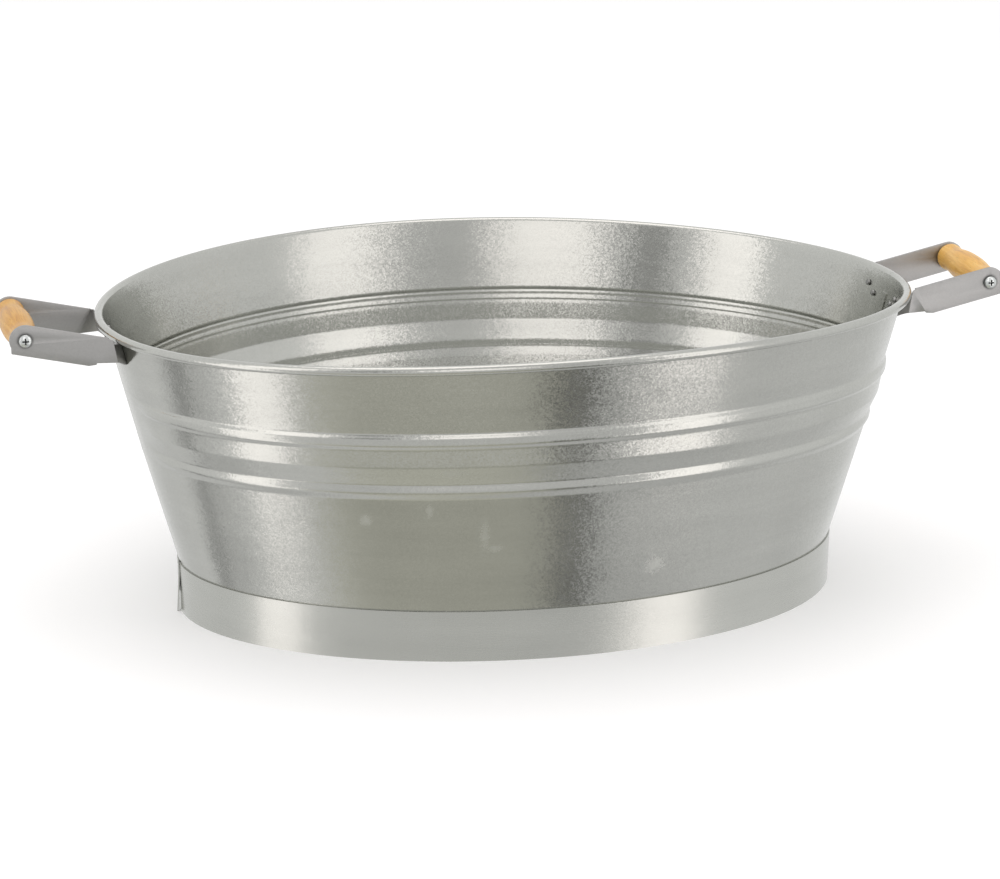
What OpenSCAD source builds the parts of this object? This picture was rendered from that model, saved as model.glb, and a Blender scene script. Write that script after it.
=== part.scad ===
// Oval galvanised wash tub with a wired rim, three rows of pressed beads, a foot ring
// and two bracket handles with turned wooden grips.
// X runs along the tub from handle to handle, Y across it, Z up from the ground.

/* [Tub] */
// Half the length of the rim, to the middle of its rolled edge
rim_half_length = 300; // [260:1:380]
// Half the width of the rim, to the middle of its rolled edge
rim_half_width = 221; // [200:1:240]
// Mean height of the middle of the rolled edge above the ground
rim_height = 224.5; // [215:0.5:260]
// How far the rim rises at the long sides and dips at the ends
rim_wave = 4.6; // [0:0.1:6]
// Angle from the middle of a side to where the rim stands highest
wave_turn = 11; // [0:1:15]
// How far the wall leans in for each millimetre that it goes down
wall_lean = 0.26; // [0.2:0.002:0.28]
// The same below the lower bead, where the wall is drawn in a little more
lower_lean = 0.285; // [0.2:0.001:0.3]
// Thickness of the sheet metal
sheet = 0.8; // [0.6:0.1:1]
// Outer radius of the rolled edge
roll_radius = 3.3; // [3:0.1:4]
// Height of the floor sheet above the ground
floor_height = 21; // [18:0.5:26]

/* [Beads] */
// Lower edge of the narrow lower bead
lower_bead_z = 126; // [110:1:128]
// Height of the narrow lower bead out of the wall
lower_bead_rise = 2; // [1:0.1:3]
// Rise of the wide middle swage where it stands out most
swage_rise = 2.6; // [1:0.1:3.5]
// Lower edge of the narrow upper bead
upper_bead_z = 166; // [160:1:170]
// Height of the narrow upper bead out of the wall
upper_bead_rise = 2.8; // [1:0.1:3.5]

/* [Foot ring] */
// Height of the foot ring
ring_height = 37; // [30:1:42]
// Thickness of the foot ring
ring_sheet = 0.9; // [0.7:0.1:1.2]

/* [Handles] */
// Distance between the inner faces of the two arms of a handle
arm_gap = 84; // [76:1:90]
// Width of the flat steel of an arm
arm_width = 22; // [18:1:24]
// Thickness of the flat steel of an arm
arm_thickness = 2; // [1.5:0.1:2.5]
// Angle at which an arm climbs away from the tub
arm_climb = 12.5; // [8:0.5:16]
// Distance of the grip screws from the middle of the tub
grip_x = 360; // [355:1:380]
// Height of the grip screws above the ground
grip_z = 222.6; // [216:0.1:228]
// Radius of the grip at the middle of its swell
grip_swell = 11.7; // [10:0.1:13]
// Radius of the grip at its two necks
grip_neck = 9.6; // [8.5:0.1:10]
// Radius of the grip at its two ends
grip_end = 10.3; // [9.5:0.1:11]

/* [Fasteners] */
// Diameter of the plain shank of a grip screw
screw_shank = 4.9; // [4:0.1:5.5]
// Diameter of the head of a grip screw
screw_head = 9.4; // [8.5:0.1:11]
// Diameter of the shank of a rivet
rivet_shank = 3.2; // [2.6:0.1:3.6]
// Diameter of the head of a rivet
rivet_head = 6.4; // [5:0.1:7]

/* [Hidden] */

zinc = [0.70, 0.72, 0.72];
zinc_dark = [0.60, 0.62, 0.63];
beech = [0.88, 0.66, 0.34];

stations = 72;            // faces round the whole oval
step = 360 / stations;
seam_cut = 0.03;          // half the gap between the two wall halves, in degrees
strip_turn = 1.35;        // half the width of a seam strip, in degrees
play = 0.1;               // air between two sheets that lie on each other
roll_start = 164;         // angle at which the wall runs into the rolled edge
roll_end = -100;          // angle at which the rolled edge stops
roll_steps = 10;
rolled_offset = 2.4;      // how far the wall cone lies inside the roll at rim height
flare_z = upper_bead_z + 10;
swage_top_z = upper_bead_z - 2;
swage_low_z = upper_bead_z - 15;
skirt_low_z = floor_height - 8.1;
skirt_top_z = floor_height + 1;
seam_web_z = floor_height - 9;

// The tub's oval is an ellipse, and every other outline of the tub lies at an
// even distance from it, inside (negative) or outside (positive).
function oval(t, off) =
    let(n = [rim_half_width * cos(t), rim_half_length * sin(t)])
    [rim_half_length * cos(t), rim_half_width * sin(t)] + off * n / norm(n);

function outline(off) = [for (i = [0 : stations - 1]) oval(i * step, off)];

// The rim's wave dies away towards the foot ring
function wave(t, z) =
    -rim_wave * cos(2 * (t - wave_turn)) * max(0, z - ring_height) / (rim_height - ring_height);

function place(t, p) = let(q = oval(t, p[0])) [q[0], q[1], p[1] + wave(t, p[1])];

// Outer face of the plain wall cone
function cone(z) =
    -rolled_offset - wall_lean * (rim_height - max(z, lower_bead_z))
    - lower_lean * max(0, lower_bead_z - z);

roll_in = roll_radius - sheet;
wall_top = [roll_in * cos(roll_start), rim_height + roll_in * sin(roll_start)];

// Outer face of the upper band, which flares up into the roll
function flare(z) =
    cone(flare_z) + (wall_top[0] - cone(flare_z)) * (z - flare_z) / (wall_top[1] - flare_z);

function bead_points(z, width, rise) =
    [[0, 0], [0.25, 0.8], [0.5, 1], [0.75, 0.75], [1, 0]] * [[width, 0], [0, rise]]
    + [for (i = [0 : 4]) [z, 0]];

// Heights and rises of the wall's pressed rows, from the bottom up
wall_rows = concat(
    [[skirt_top_z, 0], [ring_height, 0]],
    bead_points(lower_bead_z, 11, lower_bead_rise),
    [[swage_low_z, swage_rise], [swage_top_z, 0.58 * swage_rise]],
    bead_points(upper_bead_z, 10, upper_bead_rise));

wall_face = concat(
    [[cone(skirt_top_z), skirt_low_z]],
    [for (r = wall_rows) [cone(r[0]) + r[1], r[0]]]);

function arc_points(radius) =
    [for (i = [0 : roll_steps])
        let(a = roll_start + (roll_end - roll_start) * i / roll_steps)
        [radius * cos(a), rim_height + radius * sin(a)]];

function inward(points, by) = [for (p = points) [p[0] - by, p[1]]];
function reversed(list) = [for (i = [len(list) - 1 : -1 : 0]) list[i]];

wall_section = concat(
    inward(wall_face, sheet), arc_points(roll_radius),
    reversed(arc_points(roll_in)), reversed(wall_face));

// A closed section carried round the oval: one row of points for each station. The first
// half of a row runs along one face of the sheet and the second half back along the other.
module swept(rows, ring = false) {
    count = len(rows);
    side = len(rows[0]);
    last = ring ? count - 1 : count - 2;
    end = (count - 1) * side;
    walls = [for (i = [0 : last]) for (j = [0 : side - 1])
        let(a = i * side + j, b = i * side + (j + 1) % side,
            c = ((i + 1) % count) * side + j, d = ((i + 1) % count) * side + (j + 1) % side)
        each [[a, c, b], [b, c, d]]];
    caps = ring ? [] : [for (j = [0 : side / 2 - 2])
        let(k = side - 2 - j)
        each [[j, j + 1, k], [j, k, k + 1],
              [end + j + 1, end + j, end + k], [end + k, end + j, end + k + 1]]];
    polyhedron(points = [for (r = rows) each r], faces = concat(caps, walls), convexity = 6);
}

function turns(from, to) =
    concat([from + seam_cut], [for (t = [from + step : step : to - step / 2]) t], [to - seam_cut]);

module half_wall(from) {
    swept([for (t = turns(from, from + 180)) [for (p = wall_section) place(t, p)]]);
}

// Narrow strip inside the tub that covers the joint of the two wall halves
strip_face = concat([for (i = [2 : len(wall_face) - 1]) wall_face[i]],
                    [[flare(rim_height - 8), rim_height - 8]]);

// A place between the middle of a seam and the wall's next station on that side
function beside_seam(middle, side, p) =
    let(a = place(middle, p), b = place(middle + side * step, p)) a + abs(side) * strip_turn / step * (b - a);

module seam_strip(middle) {
    swept([for (side = [-1, 0, 1])
        [for (p = concat(inward(strip_face, 2 * sheet + play), reversed(inward(strip_face, sheet + play))))
            beside_seam(middle, side, p)]]);
}

// Where a rivet or a foot lies on the outer face of the upper band. The wave is taken as it
// is on average at the four corners, so that all the feet can be alike.
function on_wall(t, z, clear = 0) =
    let(q = oval(t, flare(z) + clear)) [q[0], q[1], z + (wave(t, z) + wave(-t, z)) / 2];

lean_angle = atan((flare(rim_height) - flare(flare_z)) / (rim_height - flare_z));

// Carries something that points along +Z to the wall's outer face, pointing outwards
module at_wall(t, z) {
    n = [rim_half_width * cos(t), rim_half_length * sin(t)];
    translate(on_wall(t, z))
        rotate([0, 0, atan2(n[1], n[0])])
            rotate([0, 90 + lean_angle, 0])
                children();
}

// The foot leaves the fold of the arm, turns in at a bend that stands off the wall,
// and lies on the wall from there: [place on the oval in degrees, top, low]
foot_lines = [[10.2, 218.8, 202.5], [7, 217.6, 201.3], [3.4, 215.6, 201.8]];
foot_clear = 0.3;
rivet_places = [[7.9, 212.9], [5.1, 207]];

module rivet_holes() {
    for (p = rivet_places) at_wall(p[0], p[1])
        translate([0, 0, -6]) cylinder(h = 14, d = rivet_shank + play, $fn = 32);
}

// Carries what is drawn for the right-hand rear arm to another corner of the tub
module corner(x_side, y_side) {
    mirror([x_side < 0 ? 1 : 0, 0, 0]) mirror([0, y_side < 0 ? 1 : 0, 0]) children();
}

module front_wall() {
    color(zinc) difference() {
        half_wall(180);
        corner(1, -1) rivet_holes();
        corner(-1, -1) rivet_holes();
    }
}

module back_wall() {
    color(zinc) difference() {
        half_wall(0);
        corner(1, 1) rivet_holes();
        corner(-1, 1) rivet_holes();
    }
}

module left_seam_strip() { color(zinc) seam_strip(180); }

module right_seam_strip() { color(zinc) seam_strip(0); }

// Steel wire that the rim is rolled round
wire_radius = roll_in - 0.2;
wire_sides = 8;

module rim_wire() {
    color(zinc_dark) swept([for (i = [0 : stations - 1])
        [for (j = [0 : wire_sides - 1])
            place(i * step, [wire_radius * cos(-360 * j / wire_sides),
                             rim_height + wire_radius * sin(-360 * j / wire_sides)])]], true);
}

module band(outer, inner, low, high) {
    translate([0, 0, low]) linear_extrude(height = high - low) difference() {
        polygon(outline(outer));
        polygon(outline(inner));
    }
}

// Floor sheet, hooked round the lower edge of the wall
module floor_pan() {
    skirt = cone(skirt_top_z);
    inner = skirt - sheet - play;
    outer = skirt + play;
    color(zinc) union() {
        translate([0, 0, floor_height])
            linear_extrude(height = sheet) polygon(outline(inner));
        band(inner, inner - sheet, seam_web_z, floor_height + sheet / 2);
        band(outer + sheet, inner - sheet, seam_web_z, seam_web_z + sheet);
        band(outer + sheet, outer, seam_web_z, seam_web_z + 6);
    }
}

ring_outer = cone(ring_height) + play + ring_sheet;

module foot_ring() {
    color(zinc) band(ring_outer, ring_outer - ring_sheet, 0, ring_height);
}

// Flat arm with its end rounded over the screw, drawn in the plane of X and Z
fold_top = [301.2, 221];
fold_low = [310.3, 202];
arm_inner = arm_gap / 2;
arm_dir = [cos(arm_climb), sin(arm_climb)];
arm_up = [-sin(arm_climb), cos(arm_climb)];
arm_end = [grip_x, grip_z];
half_arm = arm_width / 2;

module arm_plate() {
    start = arm_end - 56 * arm_dir;
    polygon([fold_top, fold_low,
             arm_end - 48 * arm_dir - half_arm * arm_up,
             arm_end + 7.5 * arm_dir - half_arm * arm_up,
             arm_end + 10.6 * arm_dir + 1.5 * arm_up,
             arm_end + 2 * arm_dir,
             arm_end + half_arm * arm_up,
             start + half_arm * arm_up]);
    translate(arm_end) circle(r = half_arm, $fn = 64);
}

// Foot of the arm, bent in and cut down to pass under the rim, and lying on the wall
bend_top = [298.8, arm_inner + 3.2, 219.6];
bend_low = [295.8, arm_inner + 4, 203.4];
neck_top = [297.6, arm_inner + 2, 215.6];
neck_low = [295, arm_inner + 3, 203.2];

function bend_point(p, side) = p + side * (arm_thickness / 2) * [0.43, -1.11, 0];
function fold_point(p, side) = [p[0] + 2.5, arm_inner + side, p[1] + 0.55];

module arm_foot() {
    inner = 0.25 * arm_thickness;
    outer = 0.6 * arm_thickness;
    swept(concat(
        [[fold_point(fold_low, inner) + [0, 0, 0.5], fold_point(fold_top, inner) - [0, 0, 0.3],
          fold_point(fold_top, outer) - [0, 0, 0.3], fold_point(fold_low, outer) + [0, 0, 0.5]],
         [bend_point(bend_low, 1), bend_point(bend_top, 1),
          bend_point(bend_top, -1), bend_point(bend_low, -1)],
         [bend_point(neck_low, 1), bend_point(neck_top, 1),
          bend_point(neck_top, -1), bend_point(neck_low, -1)]],
        [for (f = foot_lines)
            [on_wall(f[0], f[2], foot_clear + arm_thickness),
             on_wall(f[0], f[1], foot_clear + arm_thickness),
             on_wall(f[0], f[1], foot_clear),
             on_wall(f[0], f[2], foot_clear)]]));
}

module arm() {
    color(zinc) difference() {
        union() {
            translate([0, arm_inner + arm_thickness, 0]) rotate([90, 0, 0])
                linear_extrude(height = arm_thickness) arm_plate();
            arm_foot();
        }
        translate([grip_x, 0, grip_z]) rotate([-90, 0, 0])
            cylinder(h = 2 * arm_gap, d = screw_shank + play, $fn = 48);
        rivet_holes();
    }
}

// Rivet through the foot and the wall, closed on the inside
module rivet() {
    head_z = foot_clear + arm_thickness;
    tail_z = -sheet - 0.55;
    rotate_extrude($fn = 32) polygon([
        [0, tail_z - 1.3], [rivet_head * 0.3, tail_z - 1.2], [rivet_head * 0.36, tail_z],
        [rivet_shank / 2, tail_z], [rivet_shank / 2, head_z],
        [rivet_head / 2, head_z], [rivet_head * 0.4, head_z + 1], [rivet_head * 0.2, head_z + 1.4],
        [0, head_z + 1.5]]);
}

module rivets() {
    color(zinc_dark) for (p = rivet_places) at_wall(p[0], p[1]) rivet();
}

grip_half = arm_inner - 0.5;
bore_depth = 24;

// Turned grip, drawn round Z and laid along Y
module grip() {
    bore = (screw_shank + play) / 2;
    rows = [[grip_end - 1.2, 0], [grip_end, 1.2], [grip_end, 4], [grip_neck + 0.15, 9], [grip_neck, 13],
            [grip_neck + 0.35, 17], [grip_swell - 0.55, 26], [grip_swell - 0.1, 33]];
    side = [for (r = rows) [r[0], r[1] - grip_half]];
    far = [for (r = reversed(rows)) [r[0], grip_half - r[1]]];
    color(beech) translate([grip_x, 0, grip_z]) rotate([90, 0, 0]) difference() {
        rotate_extrude($fn = 64) polygon(concat([[0, -grip_half]], side, [[grip_swell, 0]], far, [[0, grip_half]]));
        for (s = [-1, 1]) translate([0, 0, s * (grip_half - bore_depth / 2 + 1)])
            cylinder(h = bore_depth + 2, r = bore, center = true, $fn = 48);
    }
}

// Cross-recessed pan-head screw through an arm into the end of a grip
module screw() {
    face = arm_inner + arm_thickness + 0.3;
    point = grip_half - bore_depth + 3;
    head = 2.9;
    recess = 1.1;
    color(zinc_dark) translate([grip_x, 0, grip_z]) rotate([-90, 0, 0]) difference() {
        union() {
            translate([0, 0, point]) cylinder(h = face - point + 1, d = screw_shank, $fn = 48);
            translate([0, 0, face]) rotate_extrude($fn = 48) polygon([
                [0, 0], [screw_head / 2, 0], [screw_head / 2, 1], [screw_head * 0.44, 2],
                [screw_head * 0.3, head - 0.3], [screw_head * 0.14, head], [0, head]]);
        }
        for (a = [0, 90]) rotate([0, 0, a])
            translate([-screw_head / 4, -recess / 2, face + head - 1.6])
                cube([screw_head / 2, recess, 3]);
    }
}

front_wall();
back_wall();
left_seam_strip();
right_seam_strip();
rim_wire();
floor_pan();
foot_ring();
corner(-1, -1) arm();  // left_front_arm
corner(-1, 1) arm();  // left_rear_arm
corner(1, -1) arm();  // right_front_arm
corner(1, 1) arm();  // right_rear_arm
corner(-1, -1) rivets();  // left_front_rivets
corner(-1, 1) rivets();  // left_rear_rivets
corner(1, -1) rivets();  // right_front_rivets
corner(1, 1) rivets();  // right_rear_rivets
corner(-1, 1) grip();  // left_grip
corner(1, 1) grip();  // right_grip
corner(-1, -1) screw();  // left_front_screw
corner(-1, 1) screw();  // left_rear_screw
corner(1, -1) screw();  // right_front_screw
corner(1, 1) screw();  // right_rear_screw
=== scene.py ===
import math

import bmesh
import bpy
import numpy as np
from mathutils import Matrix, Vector


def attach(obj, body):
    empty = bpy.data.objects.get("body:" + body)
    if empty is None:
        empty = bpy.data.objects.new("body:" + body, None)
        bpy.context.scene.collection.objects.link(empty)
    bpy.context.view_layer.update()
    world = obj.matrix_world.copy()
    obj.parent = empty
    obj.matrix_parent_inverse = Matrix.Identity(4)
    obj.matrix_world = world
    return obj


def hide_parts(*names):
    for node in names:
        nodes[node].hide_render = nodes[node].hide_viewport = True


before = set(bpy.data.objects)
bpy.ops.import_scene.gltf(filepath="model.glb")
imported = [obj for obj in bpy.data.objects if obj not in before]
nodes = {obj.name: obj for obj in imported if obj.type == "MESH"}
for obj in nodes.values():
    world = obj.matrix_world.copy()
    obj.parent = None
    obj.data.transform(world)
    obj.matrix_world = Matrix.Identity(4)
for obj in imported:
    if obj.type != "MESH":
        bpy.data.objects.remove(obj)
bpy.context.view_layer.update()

# Wall: two halves of galvanised sheet, rolled to a leaning oval and meeting at the two ends.
# Three rows of beads are pressed in between rollers and run out before the left-hand end, and
# the upper edge is rolled outwards round a wire. Sizes are in millimetres until a sheet is placed.
MM = 0.001
rim_half_length = 300.0
rim_half_width = 221.0
rim_height = 224.5
rim_wave = 4.6
wave_turn = 11.0
wall_lean = 0.26
lower_lean = 0.285
sheet = 0.8
roll_radius = 3.3
rolled_offset = 2.4
ring_height = 37.0
skirt_low = 12.9
flare_z = 176.0
roll_start, roll_end = 164.0, -100.0
knee_z = 126.0
pressed_z = (126, 129.8, 131, 132.4, 137, 151, 164.2, 165.4, 167.1, 168.6, 171.2, 173.3, 175.8)
pressed_out = (0, 1.5, 1.75, 1.65, 0, 2.6, 1.55, 1.7, 2.9, 2.85, 2.35, 1.95, 0)
inside_z = (126, 131, 137, 151, 164.2, 167, 168.8, 170.6, 172.6, 174.4, 175.8)
inside_out = (0, 0.5, 0, 1.95, 0.95, 0.8, 0.75, 0.8, 0.5, 0.5, 0)
bead_start, bead_run_in = 8.0, 11.0


def oval(turn, offset):
    """Points on the tub's oval: turn in degrees, offset out from the rim line, both as arrays."""
    t = np.radians(turn)
    across, along = rim_half_width * np.cos(t), rim_half_length * np.sin(t)
    length = np.hypot(across, along)
    x = rim_half_length * np.cos(t) + offset * across / length
    y = rim_half_width * np.sin(t) + offset * along / length
    return x, y


def wave(turn, z):
    """The rim rises at the long sides and dips at the ends, less and less down to the ring."""
    share = np.maximum(0, z - ring_height) / (rim_height - ring_height)
    return -rim_wave * np.cos(2 * np.radians(turn - wave_turn)) * share


def cone(z):
    """Outer face of the plain wall, drawn in a little more below the lower bead."""
    upper = wall_lean * (rim_height - np.maximum(z, knee_z))
    return -rolled_offset - upper - lower_lean * np.maximum(0, knee_z - z)


def wall_profile():
    """Outer face of the wall from the floor seam up and round the roll, as offset and height."""
    turn = np.radians(np.linspace(roll_start, roll_end, 27))
    inside = roll_radius - sheet
    curl = np.stack([inside * np.cos(turn), rim_height + inside * np.sin(turn)], 1)
    fine = np.arange(skirt_low, curl[0, 1], 0.2)
    flare = cone(flare_z) + (curl[0, 0] - cone(flare_z)) * (fine - flare_z) / (curl[0, 1] - flare_z)
    plain = np.where(fine < flare_z, cone(fine), flare)
    face = plain + np.interp(fine, pressed_z, pressed_out)
    soft = np.ones(7) / 7
    face[3:-3] = np.convolve(face, soft, "valid")
    rows = np.concatenate([np.arange(0, 104, 8) + skirt_low, np.arange(121, 181, 0.7),
                           np.arange(182, 222, 6)])
    return np.concatenate([np.stack([np.interp(rows, fine, face), rows], 1), curl])


def bead_share(turn):
    """The pressed rows run out before the left-hand end, so that its seam lies flat."""
    share = np.clip((np.abs(turn - 180) - bead_start) / bead_run_in, 0, 1)
    return share * share * (3 - 2 * share)


def run_out(turn, z):
    """Takes the pressed rows back to the plain wall where they run out."""
    return (bead_share(turn) - 1) * np.interp(z, pressed_z, pressed_out)


def inside_fill(turn, z):
    """How much softer the pressed rows are on the inner face, where the bends are wider."""
    softer = np.interp(z, pressed_z, pressed_out) - np.interp(z, inside_z, inside_out)
    return bead_share(turn) * softer


def rolled_sheet(name, profile, turns, thickness, lift=None, fill=None):
    """Rolls a flat grid round the oval. Its UV map is in metres: along the sheet, then up it."""
    bpy.ops.object.select_all(action="DESELECT")
    across, up = len(turns), len(profile)
    bpy.ops.mesh.primitive_grid_add(x_subdivisions=across - 1, y_subdivisions=up - 1, size=1)
    piece = bpy.context.object
    piece.name = piece.data.name = name
    mesh = piece.data
    flat = np.zeros(len(mesh.vertices) * 3, np.float32)
    mesh.vertices.foreach_get("co", flat)
    flat = flat.reshape(-1, 3)
    i = np.rint((flat[:, 0] + 0.5) * (across - 1)).astype(int)
    j = np.rint((flat[:, 1] + 0.5) * (up - 1)).astype(int)
    turn = np.asarray(turns)[i]
    offset, z = profile[j, 0].copy(), profile[j, 1].copy()
    if lift is not None:
        offset += lift(turn, z)
    x, y = oval(turn, offset)
    placed = np.stack([x, y, z + wave(turn, z)], 1) * MM
    mesh.vertices.foreach_set("co", placed.astype(np.float32).ravel())
    edge_x, edge_y = oval(np.asarray(turns), 0 * np.asarray(turns))
    along = np.concatenate([[0], np.cumsum(np.hypot(np.diff(edge_x), np.diff(edge_y)))]) * MM
    run = np.concatenate([[0], np.cumsum(np.hypot(*np.diff(profile, axis=0).T))]) * MM
    corner = np.zeros(len(mesh.loops), np.int32)
    mesh.loops.foreach_get("vertex_index", corner)
    uv = np.stack([along[i[corner]], run[j[corner]]], 1)
    mesh.uv_layers[0].name = "UVMap"
    mesh.uv_layers[0].data.foreach_set("uv", uv.astype(np.float32).ravel())
    mesh.update()
    metal = piece.modifiers.new("metal", "SOLIDIFY")
    metal.thickness = thickness * MM
    metal.offset = -1
    bpy.ops.object.modifier_apply(modifier="metal")
    if fill is not None:
        solid = np.zeros(len(mesh.vertices) * 3, np.float32)
        mesh.vertices.foreach_get("co", solid)
        solid = solid.reshape(-1, 3)
        out_x, out_y = oval(turn, offset + fill(turn, z) * (z < rim_height - 20))
        solid[len(turn):, 0] -= (out_x - x) * MM
        solid[len(turn):, 1] -= (out_y - y) * MM
        mesh.vertices.foreach_set("co", solid.ravel())
        mesh.update()
    bpy.ops.object.shade_smooth_by_angle(angle=math.radians(40))
    return piece


def node_maker(material):
    """Returns a function that adds a node to the material: kind, settings, then its inputs."""
    material.use_nodes = True
    tree = material.node_tree

    def add(kind, settings=None, **inputs):
        made = tree.nodes.new("ShaderNode" + kind)
        for key, value in (settings or {}).items():
            setattr(made, key, value)
        for key, value in inputs.items():
            numbered = key[0] == "i" and key[1:].isdigit()
            socket = made.inputs[int(key[1:]) if numbered else key]
            if isinstance(value, bpy.types.NodeSocket):
                tree.links.new(value, socket)
            else:
                socket.default_value = value
        return made

    return tree, add


def ramp(add, source, low, high, to_low=0.0, to_high=1.0):
    return add("MapRange", {"clamp": True}, Value=source, **{
        "From Min": low, "From Max": high, "To Min": to_low, "To Max": to_high}).outputs[0]


def times(add, one, other):
    return add("Math", {"operation": "MULTIPLY"}, i0=one, i1=other).outputs[0]


def zinc(name, colour, roughness, grain=1.0, facets=0.045, mapped=True, smudges=(), painted_darkening=None):
    """Galvanised sheet: small zinc crystals that each lie at their own slight angle, a fine
    rolled grain along the sheet, faint oxide streaks, soft unevenness and dull smudges."""
    material = bpy.data.materials.new(name)
    tree, add = node_maker(material)
    shader = tree.nodes["Principled BSDF"]
    place = add("UVMap", {"uv_map": "UVMap"}) if mapped else add("TexCoord")
    spot = place.outputs["UV" if mapped else "Object"]
    brushed = add("Mapping", Vector=spot, Scale=(90, 2600, 2600)).outputs[0]
    fibres = add("TexNoise", Vector=brushed, Scale=1.0, Detail=3.0, Roughness=0.65).outputs[0]
    crystals = add("TexVoronoi", {"feature": "F1"}, Vector=spot, Scale=1000.0, Randomness=1.0)
    streaks = add("Mapping", Vector=spot, Scale=(3, 34, 34)).outputs[0]
    oxide = add("TexNoise", Vector=streaks, Scale=1.0, Detail=5.0, Roughness=0.6).outputs[0]
    cloud = add("TexNoise", Vector=spot, Scale=7.0, Detail=4.0, Roughness=0.55).outputs[0]
    patches = add("TexNoise", Vector=spot, Scale=26.0, Detail=3.0, Roughness=0.6).outputs[0]
    tone = ramp(add, oxide, 0.3, 0.7, 0.94, 1.04)
    tone = times(add, tone, ramp(add, cloud, 0.3, 0.7, 0.96, 1.03))
    shade = add("SeparateColor", Color=crystals.outputs["Color"]).outputs[0]
    tone = times(add, tone, ramp(add, shade, 0, 1, 1 - 0.6 * facets, 1 + 0.4 * facets))
    ragged = add("TexNoise", Vector=spot, Scale=260.0, Detail=4.0, Roughness=0.7).outputs[0]
    # Optional painted shade, multiplied into the colour: the painted shadow round the screw heads
    # and the painted shade in the screw recesses.
    if painted_darkening:
        tone = times(add, tone, painted_darkening(add, spot))
    dull = 0.0
    for u, v, half_u, half_v in smudges:
        away = add("VectorMath", {"operation": "SUBTRACT"}, i0=spot, i1=(u, v, 0)).outputs[0]
        away = add("VectorMath", {"operation": "MULTIPLY"}, i0=away,
                   i1=(1 / half_u, 1 / half_v, 0)).outputs[0]
        away = add("VectorMath", {"operation": "LENGTH"}, i0=away).outputs["Value"]
        uneven_edge = ramp(add, ragged, 0.25, 0.75, -0.6, 0.6)
        away = add("Math", {"operation": "ADD"}, i0=away, i1=uneven_edge).outputs[0]
        mark = ramp(add, away, 0.2, 1.3, 1.0, 0.0)
        dull = add("Math", {"operation": "MAXIMUM"}, i0=dull, i1=mark).outputs[0]
    tinted = add("Mix", {"data_type": "RGBA", "blend_type": "MULTIPLY"})
    tinted.inputs[0].default_value = 1.0
    tinted.inputs[6].default_value = (*colour, 1)
    if smudges:
        facing = add("SeparateXYZ", Vector=add("NewGeometry").outputs["True Normal"]).outputs["Z"]
        outside = ramp(add, facing, -0.02, 0.02, 1.0, 0.0)
        dull = times(add, dull, outside)
        tone = add("Math", {"operation": "MULTIPLY_ADD"}, i0=dull, i1=0.07, i2=tone).outputs[0]
    tree.links.new(tone, tinted.inputs[7])
    tree.links.new(tinted.outputs[2], shader.inputs["Base Color"])
    shader.inputs["Metallic"].default_value = 1.0
    wear = add("Math", {"operation": "MULTIPLY_ADD"}, i0=cloud, i1=0.1,
               i2=roughness - 0.05).outputs[0]
    wear = add("Math", {"operation": "MULTIPLY_ADD"}, i0=fibres, i1=0.06, i2=wear).outputs[0]
    if smudges:
        wear = add("Math", {"operation": "MULTIPLY_ADD"}, i0=dull, i1=0.14, i2=wear).outputs[0]
    tree.links.new(wear, shader.inputs["Roughness"])
    if mapped:
        shader.inputs["Anisotropic"].default_value = 0.35
        shader.inputs["Anisotropic Rotation"].default_value = 0.25
        flow_along = add("Tangent", {"direction_type": "UV_MAP", "uv_map": "UVMap"})
        tree.links.new(flow_along.outputs[0], shader.inputs["Tangent"])
    uneven = add("Bump", {}, Strength=0.2 * grain, Distance=0.004, Height=cloud).outputs[0]
    uneven = add("Bump", {}, Strength=0.12 * grain, Distance=0.001, Height=patches,
                 Normal=uneven).outputs[0]
    brushing = add("Bump", {}, Strength=0.1 * grain, Distance=0.0002, Height=fibres,
                   Normal=uneven).outputs[0]
    tilt = add("VectorMath", {"operation": "SUBTRACT"}, i0=crystals.outputs["Color"],
               i1=(0.5, 0.5, 0.5)).outputs[0]
    tilt = add("VectorMath", {"operation": "SCALE"}, i0=tilt, Scale=facets).outputs[0]
    facet = add("VectorMath", {"operation": "ADD"}, i0=brushing, i1=tilt).outputs[0]
    facet = add("VectorMath", {"operation": "NORMALIZE"}, i0=facet).outputs[0]
    tree.links.new(facet, shader.inputs["Normal"])
    return material


def dress(piece, material, slot, body, *stands_for):
    """Gives a piece its material and its body, and hides what it stands for. The slot is not used.
    """
    piece.data.materials.clear()
    piece.data.materials.append(material)
    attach(piece, body)
    if stands_for:
        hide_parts(*stands_for)


zinc_grey = (0.50, 0.505, 0.475)
seam_half_gap = 0.03
wall_smudges = (  # along the sheet, up it, half length, half height, in metres
    (0.252, 0.1, 0.005, 0.005), (0.301, 0.108, 0.003, 0.006), (0.343, 0.088, 0.004, 0.012),
    (0.351, 0.077, 0.007, 0.003), (0.485, 0.052, 0.009, 0.007), (0.318, 0.14, 0.012, 0.004))
wall_metal = zinc("rolled zinc sheet", zinc_grey, 0.175, facets=0.06)
marked_metal = zinc("smudged zinc sheet", zinc_grey, 0.175, facets=0.06, smudges=wall_smudges)
profile = wall_profile()
halves = (("front_wall", 180.0, marked_metal), ("back_wall", 0.0, wall_metal))
for name, start, metal in halves:
    turns = np.linspace(start + seam_half_gap, start + 180 - seam_half_gap, 181)
    half = rolled_sheet(name + "_sheet", profile, turns, sheet, run_out, inside_fill)
    dress(half, metal, "galvanised_sheet", "tub", name)

# Seam strips: a narrow strip of the same sheet, soldered inside the tub over each joint of
# the wall halves, from the foot ring's height up to the roll.
strip_turn = 1.35
play = 0.1
strip_rows = profile[(profile[:, 1] >= ring_height) & (profile[:, 0] < profile[-1, 0])]
strip_rows = strip_rows[: np.argmax(strip_rows[:, 1] > rim_height - 8)]
strip_rows = strip_rows - [sheet + play, 0]


def against_wall(turn, z):
    return run_out(turn, z) - inside_fill(turn, z)


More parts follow.
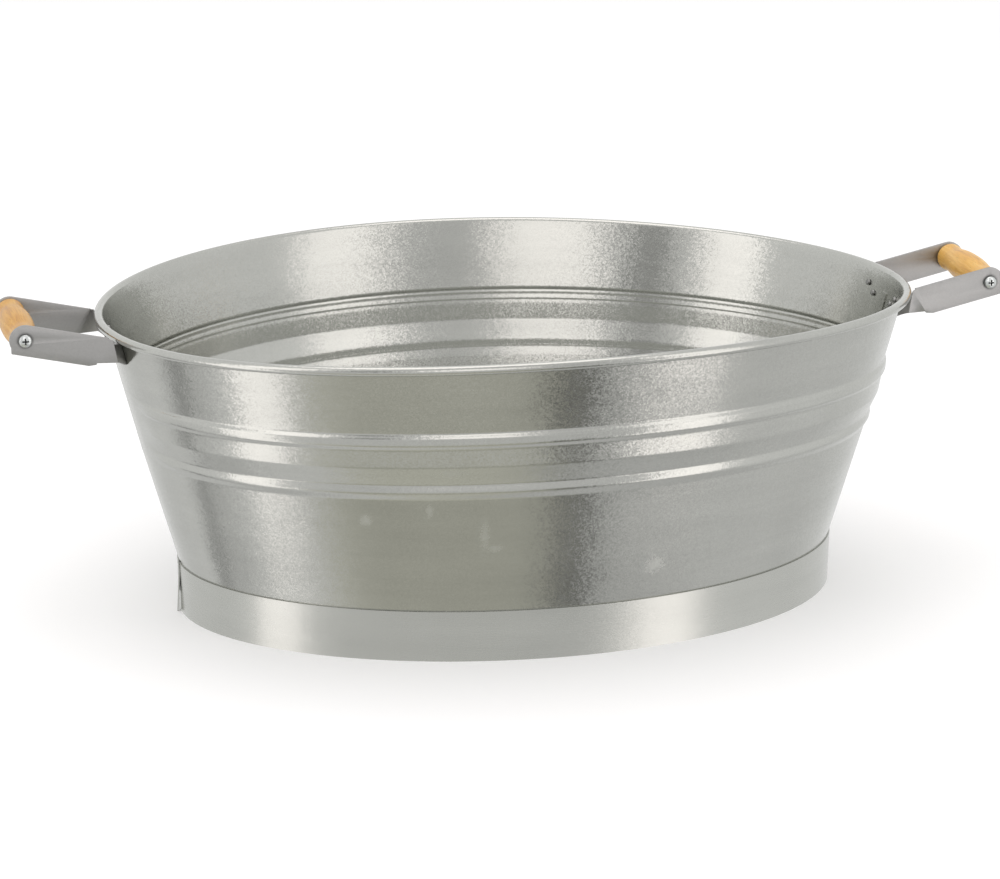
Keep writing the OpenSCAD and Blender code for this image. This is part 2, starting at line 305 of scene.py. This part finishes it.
for name, middle in (("left_seam_strip", 180.0), ("right_seam_strip", 0.0)):
    turns = middle + np.linspace(-strip_turn, strip_turn, 9)
    strip = rolled_sheet(name + "_sheet", strip_rows, turns, sheet, against_wall)
    dress(strip, wall_metal, "galvanised_sheet", "tub", name)

# Foot ring: a plain band of sheet round the foot, its ends lapped at the left-hand end and
# tacked there. The outer end of the lap has sprung a little away from the inner one.
ring_sheet = 0.9
ring_offset = cone(ring_height) + play + ring_sheet
ring_taper = 0.8
lap_turn = 2.5
ring_z = np.concatenate([[0, 0.4], np.linspace(3, 34, 10), [36.5, ring_height]])
ring_rows = np.stack([ring_offset - ring_taper * (1 - ring_z / ring_height), ring_z], 1)


def ring_lap(turn, z):
    over = np.clip((turn - (540 - lap_turn)) / lap_turn, 0, 1)
    low_corner = np.clip((30 - z) / 30, 0, 1)
    return over * (ring_sheet + 0.1) + 2.2 * over ** 2 * low_corner


ring_metal = zinc("foot ring zinc", zinc_grey, 0.25, grain=0.6, facets=0.02)
ring_turns = np.linspace(180.2, 540 + 0.6, 366)
ring = rolled_sheet("foot_ring_band", ring_rows, ring_turns, ring_sheet, ring_lap)
dress(ring, ring_metal, "galvanised_sheet", "tub", "foot_ring")

# Floor sheet and rim wire: the floor is a flat sheet hooked round the wall's lower edge, and
# the wire lies inside the roll, where it only shows from below.
floor_metal = zinc("floor sheet zinc", (0.56, 0.57, 0.55), 0.5, mapped=False)
wire_metal = zinc("drawn wire", (0.36, 0.36, 0.35), 0.45, mapped=False)
for name, metal in (("floor_pan", floor_metal), ("rim_wire", wire_metal)):
    nodes[name].data.materials.clear()
    nodes[name].data.materials.append(metal)

# Arms: flat galvanised strap, sheared to length, with one end rounded over the screw and the
# other folded to a foot that lies on the wall. The shears leave the edges slightly rounded, and
# a painted shadow darkens the strap in a ring round the heads of the screws.
grip_x, grip_z = 360.0, 222.6
screw_head_radius = 4.7


def from_screw(add, spot):
    """Distance from the line through the two screws of a handle."""
    place = add("SeparateXYZ", Vector=spot)
    out = add("Math", {"operation": "ABSOLUTE"}, i0=place.outputs["X"]).outputs[0]
    out = add("Math", {"operation": "SUBTRACT"}, i0=out, i1=grip_x * MM).outputs[0]
    up = add("Math", {"operation": "SUBTRACT"}, i0=place.outputs["Z"], i1=grip_z * MM).outputs[0]
    across = add("CombineXYZ", X=out, Y=up).outputs[0]
    return add("VectorMath", {"operation": "LENGTH"}, i0=across).outputs["Value"]


# Painted shadow: darkens the strap in a ring just outside each screw head, where the head's shadow
# falls.
def painted_shadow_round_head(add, spot):
    edge = screw_head_radius * MM
    return ramp(add, from_screw(add, spot), edge, 1.4 * edge, 0.45, 1.0)


strap_metal = zinc("strap zinc", (0.395, 0.392, 0.385), 0.42, grain=1.4, mapped=False,
                   painted_darkening=painted_shadow_round_head)


def eased_copy(node, name, ease, angle=35):
    """A copy of a CAD node's mesh with its loose triangles joined and its edges eased."""
    mesh = nodes[node].data.copy()
    mesh.name = name
    piece = bpy.data.objects.new(name, mesh)
    bpy.context.scene.collection.objects.link(piece)
    work = bmesh.new()
    work.from_mesh(mesh)
    bmesh.ops.remove_doubles(work, verts=work.verts, dist=0.00001)
    bmesh.ops.dissolve_limit(work, angle_limit=math.radians(1), verts=work.verts, edges=work.edges)
    work.to_mesh(mesh)
    work.free()
    bpy.ops.object.select_all(action="DESELECT")
    piece.select_set(True)
    bpy.context.view_layer.objects.active = piece
    edges = piece.modifiers.new("eased edges", "BEVEL")
    edges.width = ease
    edges.segments = 2
    edges.angle_limit = math.radians(angle)
    edges.use_clamp_overlap = True
    bpy.ops.object.modifier_apply(modifier="eased edges")
    bpy.ops.object.shade_smooth_by_angle(angle=math.radians(35))
    return piece


corners = ("left_front", "left_rear", "right_front", "right_rear")
for corner in corners:
    arm = eased_copy(corner + "_arm", corner + "_strap", 0.0003)
    dress(arm, strap_metal, "handle_strap", "tub", corner + "_arm")

# Rivets: soft steel, tinned, with a domed head on the foot and a small closed end inside.
rivet_metal = zinc("rivet steel", (0.33, 0.33, 0.32), 0.38, mapped=False)
for corner in corners:
    nodes[corner + "_rivets"].data.materials.clear()
    nodes[corner + "_rivets"].data.materials.append(rivet_metal)

# Grips: beech turned between centres, with a collar at each end, a neck and a long swell,
# dipped in clear varnish.
arm_inner = 42.0
grip_half = arm_inner - 0.5
bore_radius = 2.5
bore_depth = 24.0
grip_rows = ((9.1, 0), (10.3, 1.2), (10.4, 4), (9.75, 9), (9.6, 13), (9.95, 17), (11.15, 26),
             (11.6, 33), (11.7, 41.5))


def turned_grip(name, side):
    """Spins half a section round the grip's axis, from one bore round the outside to the other."""
    near = [(r, d - grip_half) for r, d in grip_rows]
    far = [(r, -d) for r, d in reversed(near[:-1])]
    section = [(0, bore_depth - grip_half), (bore_radius, bore_depth - grip_half),
               (bore_radius, -grip_half), *near, *far, (bore_radius, grip_half),
               (bore_radius, grip_half - bore_depth), (0, grip_half - bore_depth)]
    bpy.ops.object.select_all(action="DESELECT")
    mesh = bpy.data.meshes.new(name)
    points = [((side * grip_x + r) * MM, y * MM, grip_z * MM) for r, y in section]
    mesh.from_pydata(points, [(k, k + 1) for k in range(len(points) - 1)], [])
    piece = bpy.data.objects.new(name, mesh)
    bpy.context.scene.collection.objects.link(piece)
    piece.select_set(True)
    bpy.context.view_layer.objects.active = piece
    bpy.ops.object.mode_set(mode="EDIT")
    bpy.ops.mesh.select_all(action="SELECT")
    bpy.ops.mesh.spin(steps=48, angle=math.tau, center=(side * grip_x * MM, 0, grip_z * MM),
                      axis=(0, 1, 0))
    bpy.ops.mesh.select_all(action="SELECT")
    bpy.ops.mesh.remove_doubles(threshold=0.00002)
    bpy.ops.mesh.normals_make_consistent(inside=False)
    bpy.ops.object.mode_set(mode="OBJECT")
    smooth = piece.modifiers.new("turned", "SUBSURF")
    smooth.levels = smooth.render_levels = 2
    bpy.ops.object.modifier_apply(modifier="turned")
    bpy.ops.object.shade_smooth()
    return piece


def varnished_beech(name, side, painted_shade_depth):
    """Beech with its grain along the grip. The last argument paints shade into the colour: under 1
    it is darker and redder.
    """
    material = bpy.data.materials.new(name)
    tree, add = node_maker(material)
    shader = tree.nodes["Principled BSDF"]
    spot = add("TexCoord").outputs["Object"]
    turned = add("Mapping", Vector=spot, Location=(0.004 * side, 0, 0.003),
                 Scale=(260, 22, 260)).outputs[0]
    grain = add("TexNoise", Vector=turned, Scale=1.0, Detail=6.0, Roughness=0.6,
                Distortion=0.6).outputs[0]
    pores = add("TexNoise", Vector=add("Mapping", Vector=spot, Scale=(1800, 160, 1800)).outputs[0],
                Scale=1.0, Detail=2.0).outputs[0]
    woods = ((0.58, 0.28, 0.045), (0.73, 0.40, 0.075), (0.82, 0.52, 0.16))
    dark, middle, light = [(r * painted_shade_depth, g * painted_shade_depth ** 1.3, b * painted_shade_depth ** 2, 1) for r, g, b in woods]
    colours = add("ValToRGB", {}, Fac=ramp(add, grain, 0.3, 0.7))
    stops = colours.color_ramp.elements
    stops[0].color = dark
    stops[1].color = light
    stops.new(0.5).color = middle
    fleck = ramp(add, pores, 0.55, 0.75, 1.0, 0.78)
    mixed = add("Mix", {"data_type": "RGBA", "blend_type": "MULTIPLY"})
    mixed.inputs[0].default_value = 1.0
    tree.links.new(colours.outputs[0], mixed.inputs[6])
    tree.links.new(fleck, mixed.inputs[7])
    tree.links.new(mixed.outputs[2], shader.inputs["Base Color"])
    shader.inputs["Coat Weight"].default_value = 0.25
    shader.inputs["Coat Roughness"].default_value = 0.22
    tree.links.new(ramp(add, grain, 0.3, 0.7, 0.42, 0.55), shader.inputs["Roughness"])
    bump = add("Bump", {}, Strength=0.12, Distance=0.0003, Height=pores).outputs[0]
    tree.links.new(bump, shader.inputs["Normal"])
    return material


# Painted shade: the left-hand grip's colour is made darker and redder than the right's, as shade
# painted into it.
for label, side, painted_shade_depth in (("left", -1, 0.8), ("right", 1, 0.98)):
    grip = turned_grip(label + "_grip_turning", side)
    beech = varnished_beech(label + " varnished beech", side, painted_shade_depth)
    dress(grip, beech, "grip_wood", label + "_handle_grip", label + "_grip")

# Screws: zinc-plated pan heads with a cross recess, one through each arm into the grip. The
# recess is painted dark as shade, out to its reach and up to its mouth, in millimetres.
recess_reach = 2.6
recess_mouth = 46.4


# Painted shade: darkens the cross recess almost to black, standing in for the shade inside it.
def painted_recess_shade(add, spot):
    near = ramp(add, from_screw(add, spot), (recess_reach - 0.1) * MM, recess_reach * MM, 1.0, 0.0)
    outward = add("SeparateXYZ", Vector=spot).outputs["Y"]
    outward = add("Math", {"operation": "ABSOLUTE"}, i0=outward).outputs[0]
    deep = ramp(add, outward, recess_mouth * MM, (recess_mouth + 0.1) * MM, 1.0, 0.0)
    return ramp(add, times(add, near, deep), 0, 1, 1.0, 0.06)


screw_metal = zinc("bright plated screw", (0.66, 0.685, 0.675), 0.24, grain=0.4, facets=0.01,
                   mapped=False, painted_darkening=painted_recess_shade)
for corner in corners:
    label = corner.split("_")[0]
    screw = eased_copy(corner + "_screw", corner + "_pan_head", 0.00015, 30)
    dress(screw, screw_metal, "screws", label + "_handle_grip", corner + "_screw")

# Ground: a plain pale studio floor that runs up out of the picture.
floor_size = 30.0
bpy.ops.object.select_all(action="DESELECT")
bpy.ops.mesh.primitive_grid_add(x_subdivisions=2, y_subdivisions=2, size=floor_size)
ground = bpy.context.object
ground.name = "studio_floor"
paper = bpy.data.materials.new("pale paper")
tree, add = node_maker(paper)
shader = tree.nodes["Principled BSDF"]
shader.inputs["Base Color"].default_value = (0.93, 0.93, 0.93, 1)
shader.inputs["Roughness"].default_value = 0.9
shader.inputs["Specular IOR Level"].default_value = 0.1
shader.inputs["Emission Color"].default_value = (1, 1, 1, 1)
rays = add("LightPath")
lit = add("Math", {"operation": "MAXIMUM"}, i0=rays.outputs["Is Camera Ray"],
          i1=rays.outputs["Is Transmission Ray"]).outputs[0]
lit = times(add, lit, 0.12)
tree.links.new(lit, shader.inputs["Emission Strength"])
ground.data.materials.append(paper)
ground.visible_glossy = False

# Light: a pale room with tall soft panels at the left, at the right and behind the camera, and
# one overhead. What the metal mirrors is darker towards the camera and towards the ground, and
# narrow black flags stand beside the camera and at the left.
world = bpy.data.worlds.new("studio")
bpy.context.scene.world = world
tree, add = node_maker(world)
room = tree.nodes["Background"]
rays = add("LightPath")
look = add("SeparateXYZ", Vector=add("TexCoord").outputs["Generated"])
turn = add("Math", {"operation": "ARCTAN2"}, i0=look.outputs["Y"], i1=look.outputs["X"]).outputs[0]
height = look.outputs["Z"]


def beside(azimuth, core, edge, low, high):
    """1 within core degrees of an azimuth, fading to 0 at edge, between two heights of look."""
    away = add("Math", {"operation": "SUBTRACT"}, i0=turn, i1=math.radians(azimuth)).outputs[0]
    away = add("Math", {"operation": "WRAP"}, i0=away, i1=math.pi, i2=-math.pi).outputs[0]
    away = add("Math", {"operation": "ABSOLUTE"}, i0=away).outputs[0]
    near = ramp(add, away, math.radians(core), math.radians(edge), 1.0, 0.0)
    above = ramp(add, height, low - 0.04, low + 0.04)
    below = ramp(add, height, high - 0.04, high + 0.04, 1.0, 0.0)
    return times(add, near, times(add, above, below))


def darken(value, mask, level):
    """Brings value down to level where mask is 1."""
    return times(add, value, ramp(add, mask, 0, 1, 1.0, level))


mirrored = ramp(add, height, -0.75, 0.1, 0.875, 0.97)
shades = (  # azimuth, core, edge, lowest and highest look, level
    (-100, 34, 56, -2, 2, 0.85),
    (-104, 28, 46, -0.83, -0.64, 0.73),
    (-25, 35, 60, -2, -0.5, 0.91),
    (-25, 35, 60, -2, -0.74, 0.88),
    (-73, 3.5, 5.5, -0.70, -0.53, 0.02),
    (-66, 3, 5, -0.84, -0.70, 0.02),
    (-78, 6, 12, 0, 0.5, 0.88),
    (-124, 3, 6, 0, 0.5, 0.35),
    (155, 3, 8, -2, -0.45, 0.75),
    (151, 1.5, 2.5, -0.72, -0.60, 0.02),
    (160, 2, 3.5, -0.60, -0.45, 0.1),
    (168, 4, 9, -2, -0.5, 0.78),
    (-44, 10, 18, -0.76, -0.60, 0.86),
    (112, 14, 28, -2, -0.38, 0.9),
    (24, 12, 24, -2, -0.38, 0.93),
)
for *place, level in shades:
    mirrored = darken(mirrored, beside(*place), level)
olive = beside(-108, 34, 42, -2, -0.55)
seen = add("Mix", {"data_type": "FLOAT"}, i0=rays.outputs["Is Camera Ray"],
           i2=0.92, i3=1.0).outputs[0]
seen = add("Mix", {"data_type": "FLOAT"}, i0=rays.outputs["Is Glossy Ray"],
           i2=seen, i3=mirrored).outputs[0]
tree.links.new(seen, room.inputs["Strength"])
tint = add("Mix", {"data_type": "RGBA"}, i0=olive, i6=(1, 1, 1, 1),
           i7=(1, 0.99, 0.88, 1)).outputs[2]
tree.links.new(tint, room.inputs["Color"])


warm = (1.0, 0.93, 0.92)


def soft_panel(name, azimuth, distance, width, low, high, glow):
    """A tall soft light standing round the tub, turned to face it. Azimuth runs from +X to +Y."""
    lamp = bpy.data.lights.new(name, "AREA")
    lamp.shape = "RECTANGLE"
    lamp.size, lamp.size_y = width, high - low
    lamp.energy = glow * math.pi * width * (high - low)
    lamp.color = warm
    panel = bpy.data.objects.new(name, lamp)
    bpy.context.scene.collection.objects.link(panel)
    turn = math.radians(azimuth)
    panel.location = (distance * math.cos(turn), distance * math.sin(turn), (low + high) / 2)
    panel.rotation_euler = (math.pi / 2, 0, turn + math.pi / 2)
    return panel


soft_panel("left_low_panel", -160, 1.6, 0.52, -1.25, 0.2, 0.93)
soft_panel("left_high_panel", -150.6, 1.45, 0.62, 0.25, 1.6, 0.92)
soft_panel("camera_panel", -99.2, 3.39, 1.4, 0.35, 2.6, 0.95)
soft_panel("right_low_panel", -49, 1.6, 0.52, -0.6, 0.2, 1.0)
soft_panel("right_foot_panel", -51, 1.6, 0.64, -0.88, -0.6, 1.35)
soft_panel("right_high_panel", -52, 1.6, 0.55, 0.25, 1.6, 0.92)
over = soft_panel("top_panel", 90, 0.1, 1.5, 1.45, 2.95, 1.2)
over.rotation_euler = (0, 0, 0)

# Camera: the photograph's viewpoint, a long lens a little above the rim.
camera_data = bpy.data.cameras.new("camera")
camera_data.sensor_width = 36.0
camera_data.lens = 137.29
camera = bpy.data.objects.new("camera", camera_data)
bpy.context.scene.collection.objects.link(camera)
camera.location = (-0.67395, -2.63205, 0.89931)
aim = Vector((-0.00544, 0.0, 0.11359)) - camera.location
turned = aim.to_track_quat("-Z", "Y")
camera.rotation_euler = turned.to_euler()
camera.rotation_euler.rotate_axis("Z", math.radians(0.077))
bpy.context.scene.camera = camera
bpy.context.scene.view_settings.view_transform = "Standard"
